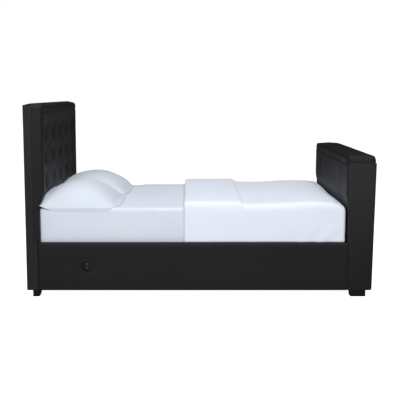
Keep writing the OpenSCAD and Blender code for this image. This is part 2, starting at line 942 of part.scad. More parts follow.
// A layer of a pillow, drawn in by inset all round
module pillow_layer(inset, z) {
    w = mattress_w / 2 + pillow_overhang - pillow_gap;
    x0 = pad_x + 2;
    translate([0, 0, z]) for (x = [x0 + inset + pillow_corner_r, x0 + pillow_l - inset - pillow_corner_r],
        y = [pillow_gap + inset + pillow_corner_r, pillow_gap + w - inset - pillow_corner_r])
        translate([x, y, 0]) cylinder(r = pillow_corner_r, h = pillow_flat, $fn = hull_fn);
}

// A plump pillow on the left side of the mattress
module pillow() {
    z0 = mattress_top + touch;
    hull() {
        pillow_layer(40, z0);
        pillow_layer(0, z0 + 0.4 * pillow_h);
        pillow_layer(85, z0 + pillow_h - pillow_flat);
    }
}

module pillow_left() {
    color(white_cloth) pillow();
}

module pillow_right() {
    color(white_cloth) mirror([0, 1, 0]) pillow();
}

headboard_posts();
headboard_rails();
headboard_board();
headboard_pad();
headboard_buttons();
headboard_side_covers();
headboard_top_cover();
headboard_back_cloth();
headboard_feet();
rail_core_left();
rail_core_right();
rail_cover_left();
rail_cover_right();
slat_ledges();
rail_brackets();
rail_bolts();
port_bezel();
port_cup();
port_socket_plate();
port_sockets();
centre_rail();
centre_rail_brackets();
centre_legs();
centre_leg_glides();
slats_left();
slats_right();
side_slat_holders();
centre_slat_holders();
footboard_inner_board();
footboard_outer_board();
footboard_end_boards();
footboard_dividers();
footboard_floor_board();
footboard_shelves();
footboard_pad_left();
footboard_pad_centre();
footboard_pad_right();
footboard_outer_cover();
footboard_end_covers();
footboard_cap_left();
footboard_cap_right();
footboard_feet();
lift_mounting_plate();
lift_column();
lift_motor();
lift_spindle();
lift_control_box();
power_inlet();
lift_middle_stage();
lift_nut();
lift_inner_stage();
lift_top_plate();
tv_bracket();
lid_arms();
lid_board();
lid_cap();
mattress();
duvet();
pillow_left();
pillow_right();
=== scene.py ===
import math

import bmesh
import bpy
from mathutils import Matrix, Vector, noise


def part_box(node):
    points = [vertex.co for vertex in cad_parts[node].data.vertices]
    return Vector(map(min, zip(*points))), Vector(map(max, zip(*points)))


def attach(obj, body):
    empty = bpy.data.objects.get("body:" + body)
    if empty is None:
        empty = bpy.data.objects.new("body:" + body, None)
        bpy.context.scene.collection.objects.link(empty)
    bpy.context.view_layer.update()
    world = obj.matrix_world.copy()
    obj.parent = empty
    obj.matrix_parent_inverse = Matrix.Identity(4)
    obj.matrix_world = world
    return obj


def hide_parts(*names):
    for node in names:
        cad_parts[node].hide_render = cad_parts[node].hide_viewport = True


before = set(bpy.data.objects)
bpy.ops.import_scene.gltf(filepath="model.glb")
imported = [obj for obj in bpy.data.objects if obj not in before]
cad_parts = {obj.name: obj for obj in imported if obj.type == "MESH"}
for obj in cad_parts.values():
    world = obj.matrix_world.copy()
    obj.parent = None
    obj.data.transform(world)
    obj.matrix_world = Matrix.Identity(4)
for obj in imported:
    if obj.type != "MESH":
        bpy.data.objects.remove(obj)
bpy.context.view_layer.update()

# ---- Studio ----
# A pale floor that runs on into a white surround, a large soft lamp in front of the bed and a
# second one above it. The camera stands off the sleeper's right side with a long lens.
scene = bpy.context.scene
lens = bpy.data.cameras.new("camera")
lens.sensor_width = 36
lens.lens = 76.2
camera = bpy.data.objects.new("camera", lens)
camera.location = (-0.0026, -5.914, 1.276)
camera.rotation_euler = (math.radians(82.80), 0, 0)
scene.collection.objects.link(camera)
scene.camera = camera
scene.view_settings.view_transform = "Standard"


def soft_lamp(name, place, aim, width, height, power):
    """A rectangular lamp at place that faces the point aim."""
    light = bpy.data.lights.new(name, "AREA")
    light.shape = "RECTANGLE"
    light.size = width
    light.size_y = height
    light.energy = power
    lamp = bpy.data.objects.new(name, light)
    lamp.location = place
    lamp.rotation_euler = (Vector(aim) - Vector(place)).to_track_quat("-Z", "Y").to_euler()
    scene.collection.objects.link(lamp)


soft_lamp("front_lamp", (-0.4, -4.2, 3.1), (0, 0, 0.5), 5.2, 2.2, 174)
soft_lamp("top_lamp", (0.0, -0.3, 3.8), (0, 0, 0.4), 3.6, 2.6, 70)

surround = bpy.data.worlds.new("surround")
surround.use_nodes = True
scene.world = surround
sky = surround.node_tree.nodes["Background"]
sky.inputs["Strength"].default_value = 1.0
seen = surround.node_tree.nodes.new("ShaderNodeLightPath")


def pick(ray, otherwise, colour):
    """A colour for one kind of ray, and another colour or socket for the rest."""
    chosen = surround.node_tree.nodes.new("ShaderNodeMix")
    chosen.data_type = "RGBA"
    surround.node_tree.links.new(seen.outputs[ray], chosen.inputs[0])
    chosen.inputs[7].default_value = colour
    if isinstance(otherwise, tuple):
        chosen.inputs[6].default_value = otherwise
    else:
        surround.node_tree.links.new(otherwise, chosen.inputs[6])
    return chosen.outputs[2]


lit = pick("Is Glossy Ray", (0.15, 0.152, 0.158, 1), (0.045, 0.046, 0.050, 1))
surround.node_tree.links.new(pick("Is Camera Ray", lit, (1, 1, 1, 1)), sky.inputs["Color"])


class Wire:
    """An output in a finish's node tree, which takes part in a sum as a number does."""

    def __init__(self, finish, socket):
        self.finish = finish
        self.socket = socket

    def __add__(self, other):
        return self.finish.sum("ADD", self, other)

    def __mul__(self, other):
        return self.finish.sum("MULTIPLY", self, other)

    __radd__ = __add__
    __rmul__ = __mul__


class Finish:
    """A material: a principled shader and the nodes that vary it over the piece."""

    def __init__(self, name, **values):
        self.material = bpy.data.materials.new(name)
        self.material.use_nodes = True
        self.tree = self.material.node_tree
        self.shader = self.tree.nodes["Principled BSDF"]
        self.place = self.node("ShaderNodeTexCoord", output="Object")
        for socket, value in values.items():
            self.feed(socket.replace("_", " "), value)

    def feed(self, socket, value):
        self.join(self.shader.inputs[socket], value)

    def join(self, socket, value):
        """Sets a socket to a number or colour, or links it to a wire."""
        if isinstance(value, Wire):
            self.tree.links.new(value.socket, socket)
        elif socket.type == "RGBA":
            socket.default_value = (*value, 1.0)
        else:
            socket.default_value = value

    def node(self, kind, settings=None, inputs=None, output=0):
        """Adds a node, with its settings first and then the values or wires of its sockets."""
        made = self.tree.nodes.new(kind)
        for name, value in (settings or {}).items():
            setattr(made, name, value)
        for name, value in (inputs or {}).items():
            self.join(made.inputs[name], value)
        return Wire(self, made.outputs[output])

    def sum(self, operation, first, second):
        return self.node("ShaderNodeMath", {"operation": operation}, {0: first, 1: second})

    def mix(self, share, first, second):
        """A blend of two colours, from first at 0 to second at 1."""
        settings = {"data_type": "RGBA", "clamp_factor": True}
        return self.node("ShaderNodeMix", settings, {0: share, 6: first, 7: second}, output=2)

    def along(self, axis):
        """The piece's own coordinate along X, Y or Z."""
        return self.node("ShaderNodeSeparateXYZ", {}, {"Vector": self.place}, output=axis)

    def stretch(self, scale):
        """The piece's own coordinates, multiplied by scale along each axis."""
        return self.node("ShaderNodeMapping", {}, {"Vector": self.place, "Scale": scale})

    def cloud(self, scale, detail=3.0, roughness=0.5, place=None):
        inputs = {"Vector": place or self.place, "Scale": scale, "Detail": detail,
                  "Roughness": roughness}
        return self.node("ShaderNodeTexNoise", {}, inputs)

    def cells(self, scale, feature="F1", place=None):
        inputs = {"Vector": place or self.place, "Scale": scale}
        return self.node("ShaderNodeTexVoronoi", {"feature": feature}, inputs)

    def step(self, value, start, end):
        """0 below start, 1 above end, and smooth between them."""
        settings = {"interpolation_type": "SMOOTHSTEP"}
        return self.node("ShaderNodeMapRange", settings, {0: value, 1: start, 2: end})

    def relief(self, height, depth, strength):
        """Raises the surface by height times depth metres, as a bump."""
        inputs = {"Height": height, "Distance": depth, "Strength": strength}
        self.feed("Normal", self.node("ShaderNodeBump", {}, inputs))


def piece(name, bm, finish, body, nodes, crease=40):
    """Makes a finished piece of a mesh, hangs it on the body that it rides on, and hides the CAD nodes
    that it stands for.
    """
    mesh = bpy.data.meshes.new(name)
    bm.to_mesh(mesh)
    bm.free()
    mesh.shade_smooth()
    mesh.set_sharp_from_angle(angle=math.radians(crease))
    mesh.materials.append(finish.material)
    made = bpy.data.objects.new(name, mesh)
    scene.collection.objects.link(made)
    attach(made, body)
    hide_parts(*nodes)
    return made


def dress(finish, *nodes):
    """Gives a finish to CAD nodes that are shown as they are."""
    for node in nodes:
        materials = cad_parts[node].data.materials
        if not materials:
            materials.append(finish.material)
        for i in range(len(materials)):
            materials[i] = finish.material


paper = Finish("pale_floor", Base_Color=(0.72, 0.72, 0.72), Roughness=0.9, Specular_IOR_Level=0.0,
               Emission_Strength=1.0)
direct = paper.node("ShaderNodeLightPath", output="Is Camera Ray")
paper.feed("Emission Color", paper.mix(direct, (0.02, 0.02, 0.02), (1, 1, 1)))
bm = bmesh.new()
bmesh.ops.create_grid(bm, x_segments=8, y_segments=8, size=30)
floor_mesh = bpy.data.meshes.new("floor")
bm.to_mesh(floor_mesh)
bm.free()
floor_mesh.materials.append(paper.material)
floor = bpy.data.objects.new("floor", floor_mesh)
scene.collection.objects.link(floor)

# ---- Headboard frame ----
# Two softwood posts and four cross rails, screwed together, with a board over the front and a
# dust cloth tacked over the back. Posts and boards are stained black where a seam could show them.
black_stain = (0.004, 0.004, 0.004)
stain_side, stain_top = 0.660, 1.180
rail_stain_top, footboard_stain_top = 0.300, 0.825


def stained(finish, top):
    """1 where timber is stained black: from stain_side outwards, and above the height top."""
    across = finish.node("ShaderNodeMath", {"operation": "ABSOLUTE"}, {0: finish.along("Y")})
    sides = finish.step(across, stain_side, stain_side + 0.004)
    return sides + finish.step(finish.along("Z"), top, top + 0.003)


def sawn_wood(name, pale, dark, stretch, rings=60.0):
    """Planed softwood or beech, whose grain runs along the axis with the smallest stretch."""
    wood = Finish(name, Specular_IOR_Level=0.35)
    along = wood.stretch(stretch)
    warp = wood.cloud(6.0, 2.0, place=along)
    band = wood.node("ShaderNodeMath", {"operation": "SINE"}, {0: warp * rings})
    pores = wood.cloud(90.0, 4.0, 0.7, place=along)
    share = wood.step(band * 0.35 + pores, 0.2, 1.0)
    bare = wood.mix(share, dark, pale)
    wood.feed("Base Color", wood.mix(stained(wood, stain_top), bare, black_stain))
    wood.feed("Roughness", 0.5 + pores * 0.2)
    wood.relief(pores + band * 0.2, 0.0006, 0.5)
    return wood


pine = ((0.58, 0.42, 0.24), (0.36, 0.22, 0.10))
dress(sawn_wood("pine_upright", *pine, (1, 1, 0.08)), "headboard_posts")
dress(sawn_wood("pine_across", *pine, (1, 0.08, 1)), "headboard_rails")
dress(sawn_wood("pine_lengthwise", *pine, (0.08, 1, 1)), "slat_ledges")


def chipboard(name, top):
    """Raw flaked board, stained black above the height top."""
    board = Finish(name, Specular_IOR_Level=0.3)
    flakes = board.node("ShaderNodeTexVoronoi", {"feature": "F1"},
                        {"Vector": board.place, "Scale": 420.0}, output="Color")
    tone = board.node("ShaderNodeSeparateColor", {}, {"Color": flakes})
    dust = board.cloud(30.0, 4.0)
    share = board.step(tone * 0.6 + dust * 0.5, 0.1, 0.9)
    raw = board.mix(share, (0.29, 0.18, 0.09), (0.55, 0.40, 0.24))
    board.feed("Base Color", board.mix(stained(board, top), raw, black_stain))
    board.feed("Roughness", 0.6 + dust * 0.25)
    board.relief(tone, 0.0004, 0.5)
    return board


dress(chipboard("headboard_chipboard", stain_top), "headboard_board")
dress(chipboard("rail_chipboard", rail_stain_top), "rail_core_left", "rail_core_right")
dress(chipboard("inner_board_chipboard", rail_stain_top), "footboard_inner_board")
dress(chipboard("footboard_chipboard", footboard_stain_top), "lid_board",
      "footboard_outer_board", "footboard_end_boards", "footboard_dividers",
      "footboard_floor_board", "footboard_shelves")

dust_cloth = Finish("dust_cloth", Specular_IOR_Level=0.15)
threads = dust_cloth.cells(900.0, place=dust_cloth.stretch((1, 1, 0.5)))
dust_cloth.feed("Base Color", dust_cloth.mix(threads, (0.012, 0.012, 0.013), (0.03, 0.03, 0.032)))
dust_cloth.feed("Roughness", 0.82 + threads * 0.12)
dust_cloth.relief(threads, 0.0004, 0.6)
dress(dust_cloth, "headboard_back_cloth")

# ---- Headboard pad ----
# Foam under black faux leather, pulled over the front board and round its edges. Each button
# draws in a deep dimple, and the leather pinches in small folds round it and at the top corners.


def black_leather(name, lift=0.0, painted_top_light=0.0):
    """Black faux leather with a pebbled grain. lift pales it all over as painted light, and the last
    number pales it only towards the top as painted light there.
    """
    hide = Finish(name, Specular_IOR_Level=0.24)
    pebbles = hide.cells(430.0, "DISTANCE_TO_EDGE")
    wear = hide.cloud(5.0, 5.0, 0.6)
    fine = hide.cloud(900.0, 2.0)
    # lift raises the whole colour, as painted light on pieces that catch more light
    low = (0.0040 + lift, 0.0040 + lift, 0.0042 + lift)
    high = (0.0080 + lift, 0.0080 + lift, 0.0083 + lift)
    # Painted light: the colour turns lighter towards the top.
    top_light_share = hide.step(hide.along("Z"), 0.10, 0.90) * painted_top_light
    hide.feed("Base Color", hide.mix(top_light_share, hide.mix(wear, low, high), (0.030, 0.030, 0.030)))
    hide.feed("Roughness", 0.40 + wear * 0.16 + fine * 0.05)
    grain = hide.step(pebbles, 0.0, 0.16) + fine * 0.25
    hide.relief(grain + hide.cloud(16.0, 3.0) * 4.0, 0.00035, 0.55)
    return hide


def cut_block(low, high, step):
    """A solid block between two corners, cut into faces about step across."""
    bm = bmesh.new()
    bmesh.ops.create_cube(bm, size=1.0)
    size = high - low
    bmesh.ops.scale(bm, vec=size, verts=bm.verts)
    bmesh.ops.translate(bm, vec=(low + high) / 2, verts=bm.verts)
    for axis in range(3):
        cuts = round(size[axis] / step) - 1
        along = [e for e in bm.edges if abs(e.verts[0].co[axis] - e.verts[1].co[axis]) > size[axis] / 2]
        if cuts > 0:
            bmesh.ops.subdivide_edges(bm, edges=along, cuts=cuts, use_grid_fill=True)
    return bm


def round_off(bm, low, high, radii, power=2.0):
    """Rounds a block's sides. radii holds the radius taken off at (x-, x+, y-, y+, z-, z+)."""
    for vert in bm.verts:
        reach = [0.0, 0.0, 0.0]
        for axis in range(3):
            below, above = radii[2 * axis], radii[2 * axis + 1]
            if below and vert.co[axis] < low[axis] + below:
                reach[axis] = (vert.co[axis] - low[axis] - below) / below
            elif above and vert.co[axis] > high[axis] - above:
                reach[axis] = (vert.co[axis] - high[axis] + above) / above
        longest = max(abs(q) for q in reach)
        if longest > 0:
            length = sum(abs(q) ** power for q in reach) ** (1 / power)
            pull = longest / length - 1
            for axis in range(3):
                radius = radii[2 * axis] if reach[axis] < 0 else radii[2 * axis + 1]
                vert.co[axis] += reach[axis] * pull * radius


def smooth(value, start, end):
    """0 up to start and 1 from end on, with an even rise between them."""
    t = min(1.0, max(0.0, (value - start) / (end - start)))
    return t * t * (3 - 2 * t)


def ridge(value, middle, width):
    """1 at the middle, falling away to nothing about twice width from it."""
    return math.exp(-((value - middle) / width) ** 2)


def ripple(x, y, z):
    """A smooth uneven wave through space, between about -1 and 1."""
    return noise.noise(Vector((x, y, z)))


def verts_of(geom):
    return [v for v in geom if isinstance(v, bmesh.types.BMVert)]


def edges_of(geom):
    return [e for e in geom if isinstance(e, bmesh.types.BMEdge)]


pad_low, pad_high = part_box("headboard_pad")
board_low, board_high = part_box("headboard_board")
mattress_low, mattress_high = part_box("mattress")
button_low, button_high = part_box("headboard_buttons")
button_cols, button_rows = 5, 3
button_r = 0.012
pitch_y = (button_high.y - button_low.y - 2 * button_r) / (button_cols - 1)
pitch_z = (button_high.z - button_low.z - 2 * button_r) / (button_rows - 1)
button_places = [(button_low.y + button_r + i * pitch_y, button_low.z + button_r + j * pitch_z)
                 for i in range(button_cols) for j in range(button_rows)]
face_x = pad_high.x
dimple_depth = face_x - button_low.x - 0.008
dimple_r, dimple_reach = 0.082, 0.20
edge_deep, edge_wide = 0.047, 0.030
face_out, border_out = 0.0105, 0.0080
seat_sink = 0.014
top_swell = 0.004


def dimple(y, z):
    """How far the face is drawn in at a point, with the pinched folds round each button."""
    drawn = 0.0
    for i, (by, bz) in enumerate(button_places):
        away = math.hypot(y - by, z - bz)
        if away > dimple_reach:
            continue
        pit = (1 - smooth(away, button_r * 0.7, dimple_r)) ** 1.5
        hollow = 0.0035 * ridge(away, 0, 0.085)
        turn = math.atan2(z - bz, y - by)
        folds = math.cos(7 * turn + 1.7 * i) + 0.7 * math.cos(11 * turn + 2.9 * i)
        pinch = 0.0009 * folds * ridge(away, 0.038, 0.018)
        drawn = max(drawn, dimple_depth * pit) + hollow * (1 - pit) + pinch
    return drawn


def corner_folds(x, z, top):
    """Gathers near a top corner, as curved ridges one above the other."""
    total = 0.0
    for k in range(3):
        line = top - 0.016 - 0.014 * k - 6.0 * (x - pad_low.x - 0.006) ** 2
        total += ridge(z, line, 0.0032)
    return total


bm = cut_block(pad_low, pad_high, 0.0065)
bmesh.ops.delete(bm, geom=[f for f in bm.faces if f.calc_center_median().x < pad_low.x + 1e-5],
                 context="FACES")
round_off(bm, pad_low, pad_high, (0, edge_deep, edge_wide, edge_wide, 0, edge_wide))
for vert in bm.verts:
    x, y, z = vert.co
    front = smooth(x, board_high.x, face_x - 0.006)
    side = min(pad_high.y - abs(y), pad_high.z - z)
    calm = smooth(side, 0.0, 0.05)
    drawn = dimple(y, z) * front * calm
    drawn += seat_sink * smooth(z, mattress_high.z + 0.040, mattress_high.z + 0.012) * front
    wave = ripple(x * 9, y * 7, z * 6) + 0.5 * ripple(x * 30, y * 26, z * 19)
    drawn += 0.0011 * wave * front * calm
    hem = ridge(z, pad_high.z - 0.050, 0.006)
    hem *= smooth(abs(y), 0.30, 0.62) * smooth(abs(y), 0.712, 0.690)
    drawn += 0.0028 * hem * front
    border = smooth(side, 0.135, 0.045)
    drawn -= (face_out + border_out * border) * smooth(z, 0.600, 0.660) * front
    vert.co.x -= drawn
    vert.co.z += top_swell * smooth(z, pad_high.z - 0.06, pad_high.z - 0.01)
    soft = ripple(x * 25, y * 12, z * 9)
    vert.co.y -= math.copysign(0.0007, y) * (soft + 1) * smooth(abs(y), 0.690, 0.718)
    if z > pad_high.z - 0.10 and abs(y) > 0.69:
        gather = corner_folds(x, z, pad_high.z) * smooth(x, face_x, face_x - 0.02)
        vert.co.y -= math.copysign(0.0014, y) * gather
rim = [e for e in bm.edges if e.is_boundary]
turned = bmesh.ops.extrude_edge_only(bm, edges=rim)["geom"]
for vert in verts_of(turned):
    vert.co.y = min(board_high.y, max(board_low.y, vert.co.y))
    vert.co.z = min(board_high.z, max(pad_low.z + 0.0005, vert.co.z))
turned = bmesh.ops.extrude_edge_only(bm, edges=edges_of(turned))["geom"]
for vert in verts_of(turned):
    vert.co.x = board_high.x + 0.0004
bmesh.ops.contextual_create(bm, geom=edges_of(turned))
bmesh.ops.recalc_face_normals(bm, faces=bm.faces)
# The pads' leather is lifted a little, as painted light from the bright bedding.
pad_leather = black_leather("pad_leather", lift=0.0004)
headboard_pad = piece("headboard_pad_leather", bm, pad_leather, "bed", ["headboard_pad"])

# ---- Buttons ----
# Fifteen covered buttons: leather stretched over a domed shell, with its edge tucked under and a
# loop behind that the tufting cord pulls tight through the board.
button_out = 0.015
bm = bmesh.new()
for by, bz in button_places:
    dome = bmesh.ops.create_uvsphere(bm, u_segments=20, v_segments=12, radius=button_r)["verts"]
    for vert in dome:
        out = vert.co.z / button_r
        turn = math.atan2(vert.co.y, vert.co.x)
        tuck = 1 + 0.02 * math.cos(9 * turn) * (1 - abs(out))
        height = 0.0030 + (0.0042 if out > 0 else 0.0030) * out
        across = vert.co.xy * tuck
        vert.co = Vector((button_low.x + button_out + height, by + across.x, bz + across.y))
bmesh.ops.recalc_face_normals(bm, faces=bm.faces)
# The buttons' leather is lifted, as painted light on the buttons.
button_leather = black_leather("button_leather", lift=0.001)
piece("covered_buttons", bm, button_leather, "bed", ["headboard_buttons"])

# ---- Headboard covers ----
# Leather over thin wadding on the two sides, stapled behind, with a strip along the top that
# laps down over each side in a few gathers.
leather = black_leather("black_leather")
# The sides' leather is lifted well above the rest, as painted light on the headboard's sides.
side_leather_painted_light = black_leather("side_leather_painted_light", lift=0.0055)
side_low, side_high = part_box("headboard_side_covers")
top_low, top_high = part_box("headboard_top_cover")
cover_thick = 0.008


def cut_across(bm, axis, place):
    """Cuts a mesh with a plane square to an axis."""
    square = Vector((0, 0, 0))
    square[axis] = 1
    bmesh.ops.bisect_plane(bm, geom=[*bm.verts, *bm.edges, *bm.faces], plane_co=square * place,
                           plane_no=square)


for side, name in ((-1, "right"), (1, "left")):
    low = Vector((side_low.x, side_high.y - cover_thick, side_low.z))
    high = Vector((side_high.x, side_high.y, side_high.z - 0.001))
    bm = cut_block(low, high, 0.010)
    cut_across(bm, 2, pad_low.z - 0.0005)
    cut_across(bm, 2, pad_low.z + 0.0005)
    round_off(bm, low, high, (0.007, 0.004, 0, 0.0074, 0.003, 0))
    for vert in bm.verts:
        x, y, z = vert.co
        if z > pad_low.z:
            behind_pad = (pad_low.x - 0.0006 - low.x) / (high.x - low.x)
            vert.co.x = low.x + (x - low.x) * behind_pad
        outer = smooth(y, low.y, high.y)
        wave = ripple(x * 14, 3 + side, z * 5) + 0.6 * ripple(x * 45, side, z * 22)
        sunk = 0.0012 * (wave + 1) + 0.0016 * corner_folds(x, z, high.z)
        sunk += 0.0014 * ridge(x, low.x + 0.018, 0.004)
        vert.co.y = side * max(vert.co.y - sunk * outer, low.y)
    bmesh.ops.recalc_face_normals(bm, faces=bm.faces)
    piece("headboard_side_cover_" + name, bm, side_leather_painted_light, "bed", ["headboard_side_covers"])
bm = cut_block(top_low, top_high, 0.012)
round_off(bm, top_low, top_high, (0.006, 0, 0.014, 0.014, 0, 0.0074))
for vert in bm.verts:
    x, y, z = vert.co
    drop = 0.0045 * smooth(abs(y), 0.60, 0.70) + 0.0012 * (1 + ripple(x * 12, y * 9, 2))
    lifted = top_swell * smooth(abs(y), 0.715, 0.66) * smooth(x, top_low.x, top_low.x + 0.03)
    vert.co.z += (lifted - drop) * smooth(z, top_low.z, top_high.z)
bmesh.ops.recalc_face_normals(bm, faces=bm.faces)
piece("headboard_top_strip", bm, leather, "bed", ["headboard_top_cover"])

# ---- Feet ----
# Tapered blocks of hardwood, painted satin black, screwed up into the headboard and footboard.
foot_paint = Finish("foot_paint", Specular_IOR_Level=0.3)
brush = foot_paint.cloud(40.0, 3.0, place=foot_paint.stretch((1, 1, 0.2)))
foot_paint.feed("Base Color", foot_paint.mix(brush, (0.001, 0.001, 0.001), (0.003, 0.003, 0.0032)))
foot_paint.feed("Roughness", 0.34 + brush * 0.2)
foot_paint.relief(brush, 0.0004, 0.4)
foot_wide = 0.060
foot_taper = {"headboard_feet": (0.001, 0.011), "footboard_feet": (0.007, 0.0005)}
for node, (rear, fore) in foot_taper.items():
    foot_low, foot_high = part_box(node)
    bm = bmesh.new()
    for side in (-1, 1):
        inner = foot_high.y - foot_wide
        low = Vector((foot_low.x, min(side * inner, side * foot_high.y), foot_low.z))
        high = Vector((foot_high.x, max(side * inner, side * foot_high.y), foot_high.z))
        block = bmesh.ops.create_cube(bm, size=1.0)["verts"]
        bmesh.ops.scale(bm, vec=high - low, verts=block)
        bmesh.ops.translate(bm, vec=(low + high) / 2, verts=block)
        for vert in block:
            if vert.co.z < foot_low.z + 0.01:
                vert.co.x += rear if vert.co.x < (low.x + high.x) / 2 else -fore
            elif node == "headboard_feet" and vert.co.x < (low.x + high.x) / 2:
                vert.co.x += 0.001
    bmesh.ops.bevel(bm, geom=bm.edges[:], offset=0.0025, segments=3, profile=0.5, affect="EDGES",
                    material=-1)
    piece(node.replace("_feet", "_painted_feet"), bm, foot_paint, "bed", [node])

# ---- Side rails ----
# Boards on edge, wrapped in thin foam and leather that is stapled under and inside the rail. The
# top edge is soft, and the leather draws in a little round the port on the right rail.
port_low, port_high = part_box("port_bezel")
port = (port_low + port_high) / 2
port_hole = 0.0379
rail_slot = 0.0055
rail_sink = 0.0029
rail_low, rail_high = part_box("rail_cover_left")


def rail_profile():
    """The cover's cross-section on the left side, from the bottom corner round to the return."""
    core_low, core_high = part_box("rail_core_left")
    points = [(core_low.y, rail_low.z), (rail_high.y - 0.002, rail_low.z),
              (rail_high.y - 0.0006, rail_low.z + 0.0006), (rail_high.y, rail_low.z + 0.002)]
    deep, tall = 0.012, 0.032
    for i in range(9):
        turn = math.radians(90 * i / 8)
        points.append((rail_high.y - deep * (1 - math.cos(turn)),
                       rail_high.z - tall * (1 - math.sin(turn))))
    inner = 0.004
    for i in range(4):
        turn = math.radians(90 + 30 * i)
        points.append((rail_low.y + inner * (1 + math.cos(turn)),
                       rail_high.z - inner * (1 - math.sin(turn))))
    end = rail_high.z - 0.045
    points += [(rail_low.y, end), (core_low.y, end), (core_low.y, core_high.z)]
    points += [(core_high.y, core_high.z), (core_high.y, core_low.z), (core_low.y, core_low.z)]
    return points


def rail_cover(side):
    """A rail's cover on the left (1) or the right (-1), swept between slots at the rail's ends."""
    bm = bmesh.new()
    ring = [bm.verts.new((rail_low.x + rail_slot, side * y, z)) for y, z in rail_profile()]
    end_face = bm.faces.new(ring)
    swept = bmesh.ops.extrude_face_region(bm, geom=[end_face])["geom"]
    bmesh.ops.translate(bm, vec=(rail_high.x - rail_low.x - 2 * rail_slot, 0, 0),
                        verts=verts_of(swept))
    count = int((rail_high.x - rail_low.x) / 0.04)
    stations = [rail_low.x + 0.02 + 0.04 * i for i in range(count)]
    levels = [rail_low.z + 0.02 * i for i in range(1, 14)]
    if side < 0:
        stations += [port.x + 0.005 * i for i in range(-15, 16)]
        levels += [port.z + 0.005 * i for i in range(-15, 16)]
    for x in stations:
        cut_across(bm, 0, x)
    for z in levels:
        cut_across(bm, 2, z)
    for vert in bm.verts:
        x, y, z = vert.co
        outer = smooth(abs(y), rail_high.y - 0.003, rail_high.y - 0.001)
        outer *= smooth(rail_high.z - z, 0.0, 0.02)
        wave = ripple(x * 2.2, side * 5, z * 6) + 0.3 * ripple(x * 11, side, z * 14)
        sunk = 0.0009 * (wave + 1)
        gap = min(x - rail_low.x, rail_high.x - x) - rail_slot
        sunk += 0.0030 * (1 - smooth(gap, 0.0, 0.008))
        sunk = min(sunk, rail_sink)
        if side < 0:
            away = math.hypot(x - port.x, z - port.z)
            sunk += 0.0022 * (1 - smooth(away, 0.044, 0.066))
        vert.co.y -= side * sunk * outer
    bmesh.ops.recalc_face_normals(bm, faces=bm.faces)
    return bm


piece("rail_leather_left", rail_cover(1), leather, "bed", ["rail_cover_left"])
rail_right = piece("rail_leather_right", rail_cover(-1), leather, "bed",
                   ["rail_cover_right"])
bm = bmesh.new()
drill = bmesh.ops.create_cone(bm, cap_ends=True, segments=64, radius1=port_hole, radius2=port_hole,
                              depth=0.018)["verts"]
bmesh.ops.rotate(bm, verts=drill, matrix=Matrix.Rotation(math.pi / 2, 3, "X"))
bmesh.ops.translate(bm, verts=drill, vec=(port.x, port.y, port.z))
cutter_mesh = bpy.data.meshes.new("port_cutter")
bm.to_mesh(cutter_mesh)
bm.free()
cutter = bpy.data.objects.new("port_cutter", cutter_mesh)
scene.collection.objects.link(cutter)
bore = rail_right.modifiers.new("bore", "BOOLEAN")
bore.operation = "DIFFERENCE"
bore.solver = "EXACT"
bore.object = cutter
bpy.context.view_layer.update()
evaluated = rail_right.evaluated_get(bpy.context.evaluated_depsgraph_get())
bored = bpy.data.meshes.new_from_object(evaluated)
rail_right.modifiers.clear()
rail_right.data = bored
bpy.data.objects.remove(cutter)

# ---- Round port ----
# A moulded dish let into the right rail: a soft-edged bezel, a cup behind it, an upright plate in
# the cup and two metal sockets in the plate.


def moulded_plastic(name, low, high, gloss):
    """Black moulded plastic with a fine spark-eroded texture."""
    plastic = Finish(name, Specular_IOR_Level=0.4)
    stipple = plastic.cloud(1400.0, 2.0)
    blotch = plastic.cloud(12.0, 3.0)
    plastic.feed("Base Color", plastic.mix(blotch, low, high))
    plastic.feed("Roughness", gloss + blotch * 0.12 + stipple * 0.05)
    plastic.relief(stipple, 0.0001, 0.5)
    return plastic


dish_plastic = moulded_plastic("dish_plastic", (0.002, 0.002, 0.002), (0.004, 0.004, 0.0045), 0.46)
bezel_profile = [(0.0357, 0.0), (0.0360, 0.0014), (0.0385, 0.0020), (0.0410, 0.0017),
                 (0.0423, 0.0008), (0.0425, 0.0)]
bm = bmesh.new()
line = [bm.verts.new((port.x + r, port_high.y - up, port.z)) for r, up in bezel_profile]
edges = [bm.edges.new(pair) for pair in zip(line, line[1:])]
edges.append(bm.edges.new((line[-1], line[0])))
bmesh.ops.spin(bm, geom=[*line, *edges], cent=port, axis=(0, 1, 0), angle=math.tau, steps=72,
               use_merge=True)
bmesh.ops.recalc_face_normals(bm, faces=bm.faces)
piece("port_bezel_ring", bm, dish_plastic, "bed", ["port_bezel"])
dress(dish_plastic, "port_cup")
dress(moulded_plastic("plate_plastic", (0.004, 0.004, 0.0045), (0.008, 0.008, 0.009), 0.40),
      "port_socket_plate")


def bare_metal(name, colour, rough, stretch=(1, 1, 1)):
    """Bare or plated metal with fine lines drawn along the axis with the smallest stretch."""
    metal = Finish(name, Metallic=1.0)
    lines = metal.cloud(500.0, 3.0, place=metal.stretch(stretch))
    cloud = metal.cloud(9.0, 4.0)
    dull = tuple(0.78 * c for c in colour)
    metal.feed("Base Color", metal.mix(cloud, dull, colour))
    metal.feed("Roughness", rough + lines * 0.14 + cloud * 0.08)
    metal.relief(lines, 0.0001, 0.4)
    return metal


# The sockets' nickel is painted far darker than bare nickel, as painted shade inside the cup.
dress(bare_metal("socket_nickel_painted_shade", (0.13, 0.13, 0.135), 0.40), "port_sockets")

